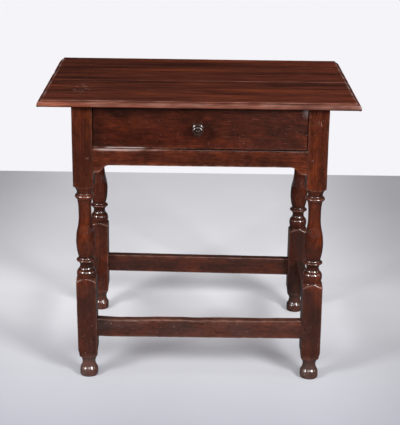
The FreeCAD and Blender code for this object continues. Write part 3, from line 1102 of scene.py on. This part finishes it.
peg_sides = 12
peg_whittle = 0.09
peg_dome = 0.0006
peg_rings = ((0.0, 0.9), (0.25, 0.97), (0.6, 1.0), (1.0, 1.0))
peg_grain_spread = 9


def islands(node):
    """Lowest and highest corner of each separate solid of a CAD node."""
    skin = bmesh.new()
    skin.from_mesh(frame["nodes"][node].data)
    bmesh.ops.remove_doubles(skin, verts=skin.verts, dist=weld)
    waiting = set(skin.verts)
    boxes = []
    for start in skin.verts:
        if start not in waiting:
            continue
        waiting.remove(start)
        group = [start]
        for vert in group:
            for edge in vert.link_edges:
                other = edge.other_vert(vert)
                if other in waiting:
                    waiting.remove(other)
                    group.append(other)
        places = np.array([vert.co for vert in group])
        boxes.append((places.min(0), places.max(0)))
    skin.free()
    return boxes


def pegs(node, seed):
    """Whittled pegs with slightly domed ends, one for each solid of the node."""
    draw = np.random.default_rng(seed)
    ways = directions(circle(peg_sides))
    points, faces, grain = [], [], []
    for low, high in islands(node):
        run = int(np.argmax(high - low))
        radius = (high - low)[others(run)[0]] / 2
        cut = radius * (1 - peg_whittle * draw.uniform(0, 1, peg_sides))
        reach = np.outer([share for _, share in peg_rings + peg_rings[::-1]], cut)
        domes = peg_dome * np.array([way for way, _ in peg_rings])
        along = np.concatenate([low[run] + domes, high[run] - domes[::-1]])
        rings = lathed(reach, ways, along, (low + high) / 2, run)
        start = sum(len(part) for part in points)
        faces += [[start + index for index in face] for face in tube_faces(*reach.shape)]
        points.append(rings.reshape(-1, 3))
        grain.append(wood_coordinates(points[-1], run, draw.uniform(0, peg_grain_spread)))
    points = np.concatenate(points)
    grain = np.concatenate(grain)
    add_piece(f"{node}_whittled", points, faces, grain, fresh_age(points), "oak_pegs", node)


# Materials

def feed(tree, socket, value):
    """Links an output to a socket, or sets the socket's own value."""
    if isinstance(value, bpy.types.NodeSocket):
        tree.links.new(value, socket)
    elif socket.type == "RGBA":
        socket.default_value = (*value, 1)
    else:
        socket.default_value = value


def wire(tree, made, **inputs):
    """Sets a node's inputs, which are values or sockets to link."""
    for name, value in inputs.items():
        feed(tree, made.inputs[name.replace("_", " ")], value)


def add_node(tree, kind, settings=None, **inputs):
    """A shader node with its settings and its inputs."""
    made = tree.nodes.new("ShaderNode" + kind)
    for name, value in (settings or {}).items():
        setattr(made, name, value)
    wire(tree, made, **inputs)
    return made


def ramp(tree, factor, *stops):
    """A colour ramp; each stop is a place and a grey level or a colour."""
    made = add_node(tree, "ValToRGB", Fac=factor)
    elements = made.color_ramp.elements
    while len(elements) < len(stops):
        elements.new(0.5)
    for element, (place, colour) in zip(elements, stops):
        element.position = place
        element.color = (*colour, 1) if isinstance(colour, tuple) else (colour, colour, colour, 1)
    return made.outputs["Color"]


def blend(tree, mode, factor, first, second):
    """Two colours mixed in one of the blend modes."""
    made = add_node(tree, "Mix", {"data_type": "RGBA", "blend_type": mode})
    for index, value in ((0, factor), (6, first), (7, second)):
        feed(tree, made.inputs[index], value)
    return made.outputs[2]


def sum_of(tree, mode, first, second):
    """Arithmetic on two numbers."""
    made = add_node(tree, "Math", {"operation": mode})
    feed(tree, made.inputs[0], first)
    feed(tree, made.inputs[1], second)
    return made.outputs[0]


def mapped(tree, value, start, end, first=0.0, last=1.0, kind="LINEAR"):
    """A number that goes from first to last as a value goes from start to end."""
    return add_node(tree, "MapRange", {"interpolation_type": kind}, Value=value, From_Min=start,
                    From_Max=end, To_Min=first, To_Max=last).outputs[0]


def speckle(tree, vector, scale, detail=2.0, roughness=0.5):
    """Noise with its own number of waves per metre along each axis."""
    stretched = add_node(tree, "Mapping", {"vector_type": "POINT"}, Vector=vector, Scale=scale)
    made = add_node(tree, "TexNoise", Vector=stretched.outputs[0], Scale=1.0, Detail=detail,
                    Roughness=roughness)
    return made.outputs[0]


def new_material(name):
    """A new node material, its tree and its main shader."""
    material = bpy.data.materials.new(name)
    material.use_nodes = True
    tree = material.node_tree
    return material, tree, tree.nodes["Principled BSDF"]


# Marks of the wood: waves per metre along the grain and across it, detail and roughness of the
# noise, and stops, each a place in the noise and the level there
marks = {
    "patina": ((9, 17, 17), 4.0, 0.6),
    "warmth": ((12, 26, 26), 3.0, 0.55, (0.50, 0.0), (0.70, 0.75)),
    "figure": ((2.2, 70, 70), 4.0, 0.6, (0.36, 0.86), (0.60, 1.06)),
    "mottle": ((70, 150, 150), 3.0, 0.6, (0.34, 0.74), (0.62, 1.20)),
    "lines": ((14, 480, 480), 3.0, 0.65, (0.34, 0.64), (0.64, 1.21)),
    "pores": ((45, 1500, 1500), 1.0, 0.5, (0.62, 1.0), (0.70, 0.55)),
    "streaks": ((2.6, 60, 60), 4.0, 0.7, (0.36, 0.58), (0.62, 1.24)),
    "specks": ((210, 290, 290), 2.0, 0.5, (0.69, 0.0), (0.74, 0.75)),
    "scratches": ((28, 900, 900), 2.0, 0.5, (0.64, 0.0), (0.72, 0.7)),
    "cuts": ((700, 45, 45), 2.0, 0.5, (0.66, 0.0), (0.74, 0.3)),
    "knocks": ((60, 130, 130), 3.0, 0.5, (0.25, 0.4), (0.5, 1.0)),
}
long_marks = ("patina", "warmth", "figure", "mottle")
patina_stops = (0.31, 0.5, 0.69)
wear_broken = ((0.4, 0.3), (0.6, 0.9))
stroke_waves = (40, 230, 230)
stroke_detail = 1.0
stroke_rise = 0.06
stroke_strength = 0.9
stroke_scuff = ((0.6, 0.0), (0.8, 1.0))
speck_scuff = ((0.0, 0.12), (0.55, 1.0))
grime_and_shade_strength = 0.75
grime_and_shade_colour = (0.006, 0.003, 0.002)
bare_colour = (0.40, 0.325, 0.31)
speck_colour = (0.30, 0.22, 0.20)
gloss_spread = ((0.3, -0.04), (0.7, 0.06))
grime_and_shade_roughness = 0.26
dust_roughness = 0.6
unwaxed_roughness = 0.45
wax_roughness = 0.1
unwaxed_wear = ((0.22, 0.0), (0.75, 1.0))
upward = (0.6, 0.9)
line_relief = ((0.3, 0.6), (0.7, 1.0))
pore_relief = ((0.60, 1.0), (0.70, 0.4))
knock_relief = 0.6
relief_strength = 0.25
relief_distance = 0.0005


def old_oak(name, dark, middle, light, glow, worn, gloss=0.19, specular=0.45, wax=0.8, contrast=1.0,
            stretch=1.0, streaks=0.0, stroke=stroke_waves, stroke_from=0.54):
    """Dark waxed oak: patina, figure, open pores, worn edges with a painted sheen on the top's moulding,
    grime with painted shade, scuffs and pale specks.
    """
    material, tree, shader = new_material(name)
    grain = add_node(tree, "Attribute", {"attribute_name": "grain"}).outputs["Vector"]
    aged = add_node(tree, "Attribute", {"attribute_name": "age"})
    wear, grime, bare = add_node(tree, "SeparateColor", Color=aged.outputs["Color"]).outputs
    scuff = aged.outputs["Alpha"]
    noise, level = {}, {}
    for kind, ((along, *across), detail, roughness, *stops) in marks.items():
        waves = (along / stretch if kind in long_marks else along, *across)
        noise[kind] = speckle(tree, grain, waves, detail, roughness)
        if stops:
            level[kind] = ramp(tree, noise[kind], *stops)

    colour = ramp(tree, noise["patina"], *zip(patina_stops, (dark, middle, light)))
    colour = blend(tree, "MIX", level["warmth"], colour, glow)
    strengths = {"figure": contrast, "mottle": contrast, "lines": contrast, "pores": 1.0, "streaks": streaks}
    for kind, strength in strengths.items():
        colour = blend(tree, "MULTIPLY", strength, colour, level[kind])
    rubbed = sum_of(tree, "MULTIPLY", wear, ramp(tree, noise["mottle"], *wear_broken))
    # Grime and painted shade both darken towards one colour.
    darkened = sum_of(tree, "MULTIPLY", grime, grime_and_shade_strength)
    scratched = sum_of(tree, "MAXIMUM", level["scratches"], level["cuts"])
    scratched = sum_of(tree, "MULTIPLY", scuff, scratched)
    strokes = ramp(tree, speckle(tree, grain, stroke, stroke_detail), (stroke_from, 0.0),
                   (stroke_from + stroke_rise, stroke_strength))
    strokes = sum_of(tree, "MULTIPLY", strokes, ramp(tree, scuff, *stroke_scuff))
    scuffed = sum_of(tree, "MAXIMUM", scratched, strokes)
    speckled = sum_of(tree, "MULTIPLY", level["specks"], ramp(tree, scuff, *speck_scuff))
    coats = ((rubbed, worn), (darkened, grime_and_shade_colour), (scuffed, worn), (speckled, speck_colour),
             (bare, bare_colour))
    for share, coat in coats:
        colour = blend(tree, "MIX", share, colour, coat)

    facing = add_node(tree, "NewGeometry").outputs["Normal"]
    facing = add_node(tree, "SeparateXYZ", Vector=facing).outputs["Z"]
    dusty = ramp(tree, facing, (upward[0], 0.0), (upward[1], 1.0))
    unwaxed = ramp(tree, wear, *unwaxed_wear)
    shine = ramp(tree, noise["patina"], *((place, gloss + more) for place, more in gloss_spread))
    for share, dull in ((grime, grime_and_shade_roughness), (dusty, dust_roughness), (unwaxed, unwaxed_roughness)):
        shine = blend(tree, "MIX", share, shine, (dull, dull, dull))
    if wax:
        waxed = ramp(tree, facing, (upward[0], wax), (upward[1], 0.0))
        wire(tree, shader, Coat_Weight=sum_of(tree, "SUBTRACT", waxed, unwaxed))

    height = blend(tree, "MULTIPLY", 1.0, ramp(tree, noise["lines"], *line_relief),
                   ramp(tree, noise["pores"], *pore_relief))
    height = blend(tree, "MULTIPLY", knock_relief, height, level["knocks"])
    raised = add_node(tree, "Bump", Strength=relief_strength, Distance=relief_distance, Height=height)
    wire(tree, shader, Base_Color=colour, Roughness=shine, Specular_IOR_Level=specular,
         Coat_Roughness=wax_roughness, Normal=raised.outputs[0])
    return material


rust_noise = ((900, 900, 900), 4.0, 0.65)
rust_colours = ((0.4, (0.035, 0.03, 0.028)), (0.65, (0.11, 0.045, 0.02)))
rust_roughness = ((0.35, 0.45), (0.65, 0.8))
rust_metal = ((0.4, 0.8), (0.6, 0.1))


def iron(name):
    """Old nails: dark iron with rust."""
    material, tree, shader = new_material(name)
    rust = speckle(tree, add_node(tree, "TexCoord").outputs["Object"], *rust_noise)
    wire(tree, shader, Base_Color=ramp(tree, rust, *rust_colours), Metallic=ramp(tree, rust, *rust_metal),
         Roughness=ramp(tree, rust, *rust_roughness))
    return material


woods = {
    # The top's worn colour also paints the moulding's highlight.
    "oak_top": dict(
        dark=(0.060, 0.0156, 0.0089), middle=(0.105, 0.0232, 0.0114), light=(0.138, 0.0294, 0.0139),
        glow=(0.200, 0.039, 0.0114), worn=(0.26, 0.135, 0.105),
        gloss=0.45, specular=0.1, wax=0.0, stretch=4.0, streaks=1.0, stroke=(75, 120, 120), stroke_from=0.6),
    "oak_frame": dict(
        dark=(0.033, 0.0087, 0.0043), middle=(0.060, 0.0122, 0.0052), light=(0.086, 0.0162, 0.0058),
        glow=(0.132, 0.0236, 0.0060), worn=(0.25, 0.11, 0.075)),
    "oak_legs": dict(
        dark=(0.033, 0.0087, 0.0043), middle=(0.062, 0.0122, 0.0050), light=(0.090, 0.0162, 0.0056),
        glow=(0.138, 0.0250, 0.0064), worn=(0.25, 0.11, 0.075), gloss=0.15, contrast=0.75),
    "oak_drawer_front": dict(
        dark=(0.023, 0.0055, 0.0027), middle=(0.043, 0.0075, 0.0031), light=(0.061, 0.0100, 0.0036),
        glow=(0.086, 0.0148, 0.0042), worn=(0.22, 0.095, 0.06)),
    "oak_drawer_lining": dict(
        dark=(0.20, 0.12, 0.065), middle=(0.33, 0.21, 0.12), light=(0.43, 0.29, 0.175),
        glow=(0.36, 0.20, 0.10), worn=(0.50, 0.38, 0.26), gloss=0.68, wax=0.0, contrast=0.6),
    "oak_runners": dict(
        dark=(0.11, 0.06, 0.032), middle=(0.19, 0.11, 0.06), light=(0.27, 0.17, 0.10),
        glow=(0.22, 0.11, 0.05), worn=(0.40, 0.28, 0.19), gloss=0.66, wax=0.0, contrast=0.6),
    "oak_pegs": dict(
        dark=(0.03, 0.009, 0.005), middle=(0.05, 0.013, 0.007), light=(0.08, 0.022, 0.011),
        glow=(0.10, 0.02, 0.007), worn=(0.2, 0.09, 0.06), gloss=0.45, specular=0.3, wax=0.0),
    "knob_wood": dict(
        dark=(0.012, 0.0052, 0.0038), middle=(0.022, 0.0085, 0.0058), light=(0.035, 0.013, 0.0085),
        glow=(0.045, 0.013, 0.007), worn=(0.05, 0.020, 0.014), gloss=0.2, specular=0.5, wax=0.6),
}
looks = {name: old_oak(name, **wood) for name, wood in woods.items()}
looks["iron_nails"] = iron("iron_nails")

# The table

for seed, leg_node in enumerate(leg_nodes, 1):
    leg(leg_node, seed)
top_board("top_board_front", True, 11)
top_board("top_board_back", False, 12)
bracket_steps = [edge + side * share * bracket_width for edge, side in ((inner_left, 1), (inner_right, -1))
                 for share in np.linspace(*bracket_share_span, bracket_sections)]
frame_board("front_rail", 0, 21, extra=bracket_steps, shape=bracket_shape, aging=bare_edge)
frame_board("back_rail", 0, 22)
frame_board("side_rail_left", 1, 23)
frame_board("side_rail_right", 1, 24)
frame_board("stretcher_front", 0, 25, shape=hollowed, aging=feet_wear)
frame_board("stretcher_back", 0, 26, aging=dusk)
frame_board("stretcher_left", 1, 27, aging=shaded)
frame_board("stretcher_right", 1, 28, aging=shaded)
drawer(41)
runners(50)
knob(60)
for seed, peg_node in enumerate(sorted(name for name in frame["nodes"] if name.endswith("_pegs")), 70):
    pegs(peg_node, seed)
for name, cad_node in frame["nodes"].items():
    if name.endswith("_nails"):
        cad_node.data.materials.clear()
        cad_node.data.materials.append(looks["iron_nails"])

# Stage: a pale floor that ends where the photograph's wall begins, and a white surround

floor_back = 1.52
floor_reach = 14.0
floor_depths = (-0.5, 1.2)
# Floor colours by depth, a painted light that grows brighter towards the back.
floor_colours_and_light = (
    (0.0, (0.40, 0.41, 0.45)),
    (0.3, (0.69, 0.69, 0.73)),
    (0.5, (0.90, 0.90, 0.93)),
    (1.0, (0.94, 0.94, 0.97)),
)
# Painted shade that darkens the floor to the left and right of the table.
floor_side_shade_span = (0.3, 0.85)
floor_side_shade_level = 0.58
floor_shift = 0.07
floor_cloud = ((2.2, 2.2, 2.2), 4.0)
floor_cloud_levels = ((0.35, 0.96), (0.65, 1.0))
floor_mirrored = (0.9, 1.7)
floor_dimming = (0.90, 0.985)
floor_roughness = 0.7
floor_specular = 0.2
surround = (0.913, 0.905, 0.947)
ambient_front = 0.46
ambient_back = 0.38
reflected_low = (0.5, 0.3)
reflected_high = (0.56, 0.018)
black = (0.0, 0.0, 0.0)
white = (1.0, 1.0, 1.0)


def floor():
    """A pale floor, painted darker near the front and brighter towards the back as painted light and shade,
    with painted shade at its sides. Reflections see it bright only round the table, as in a dim studio.
    """
    material, tree, shader = new_material("floor_paint")
    place = add_node(tree, "TexCoord").outputs["Object"]
    apart = add_node(tree, "SeparateXYZ", Vector=place).outputs
    colour = ramp(tree, mapped(tree, apart["Y"], *floor_depths), *floor_colours_and_light)
    aside = sum_of(tree, "ABSOLUTE", sum_of(tree, "ADD", apart["X"], floor_shift), 0.0)
    sides = mapped(tree, aside, *floor_side_shade_span, 1.0, floor_side_shade_level, "SMOOTHSTEP")
    cloud = ramp(tree, speckle(tree, place, *floor_cloud), *floor_cloud_levels)
    for shade in (sides, cloud):
        colour = blend(tree, "MULTIPLY", 1.0, colour, shade)
    away = add_node(tree, "VectorMath", {"operation": "LENGTH"})
    tree.links.new(place, away.inputs[0])
    dim = mapped(tree, away.outputs["Value"], *floor_mirrored, *floor_dimming)
    mirrored = add_node(tree, "LightPath").outputs["Is Glossy Ray"]
    colour = blend(tree, "MIX", sum_of(tree, "MULTIPLY", mirrored, dim), colour, black)
    wire(tree, shader, Base_Color=colour, Roughness=floor_roughness, Specular_IOR_Level=floor_specular)
    mesh = bpy.data.meshes.new("floor")
    mesh.from_pydata([(-floor_reach, -floor_reach, 0), (floor_reach, -floor_reach, 0),
                      (floor_reach, floor_back, 0), (-floor_reach, floor_back, 0)], [], [(0, 1, 2, 3)])
    mesh.materials.append(material)
    plane = show("floor", mesh)


def white_surround():
    """White to the camera; to reflections, brighter low down and dim elsewhere."""
    world = bpy.data.worlds.new("surround")
    bpy.context.scene.world = world
    world.use_nodes = True
    tree = world.node_tree
    path = add_node(tree, "LightPath").outputs
    way = add_node(tree, "SeparateXYZ", Vector=add_node(tree, "TexCoord").outputs["Generated"]).outputs
    low_down = ramp(tree, sum_of(tree, "ADD", way["Z"], 0.5), reflected_low, reflected_high)
    ambient = mapped(tree, way["Y"], -1.0, 1.0, ambient_front, ambient_back)
    level = blend(tree, "MIX", path["Is Glossy Ray"], ambient, low_down)
    level = blend(tree, "MIX", path["Is Camera Ray"], level, white)
    wire(tree, tree.nodes["Background"], Color=surround, Strength=level)
    world.cycles.sampling_method = "NONE"


table_middle = Vector((0.0, 0.0, 0.35))
# Place, size and power of each lamp
soft_boxes = {
    "light_right": ((1.60, -2.05, 1.55), (0.7, 0.9), 68),
    "light_left": ((-1.93, -1.74, 1.55), (0.7, 0.9), 50),
    "light_front": ((0.0, -3.1, 2.1), (1.8, 1.0), 31),
    "light_far_left": ((-2.6, -0.5, 1.2), (0.4, 1.0), 4),
    "light_far_right": ((2.6, -0.5, 1.2), (0.4, 1.0), 4),
}


def soft_box(name, place, size, power):
    """A rectangular soft light that faces the table."""
    light = bpy.data.lights.new(name, "AREA")
    light.shape = "RECTANGLE"
    light.size, light.size_y = size
    light.energy = power
    lamp = show(name, light)
    lamp.location = place
    lamp.visible_camera = False
    lamp.rotation_mode = "QUATERNION"
    lamp.rotation_quaternion = (table_middle - Vector(place)).to_track_quat("-Z", "Y")


floor()
white_surround()
for name, lamp_values in soft_boxes.items():
    soft_box(name, *lamp_values)

# Camera

camera_place = (-0.0024, -2.8483, 1.3196)
camera_yaw = math.radians(0.17)
camera_pitch = math.radians(18.701)
camera_roll = math.radians(0.793)
camera_lens = 100.65
camera_sensor = 36.0


def camera():
    """The photograph's camera."""
    data = bpy.data.cameras.new("camera")
    data.lens = camera_lens
    data.sensor_width = camera_sensor
    eye = show("camera", data)
    aim = Matrix.Rotation(-camera_yaw, 4, "Z") @ Matrix.Rotation(quarter_turn - camera_pitch, 4, "X")
    eye.matrix_world = Matrix.Translation(camera_place) @ aim @ Matrix.Rotation(camera_roll, 4, "Z")
    bpy.context.scene.camera = eye


camera()
bpy.context.scene.view_settings.view_transform = "Standard"

bpy.context.view_layer.update()
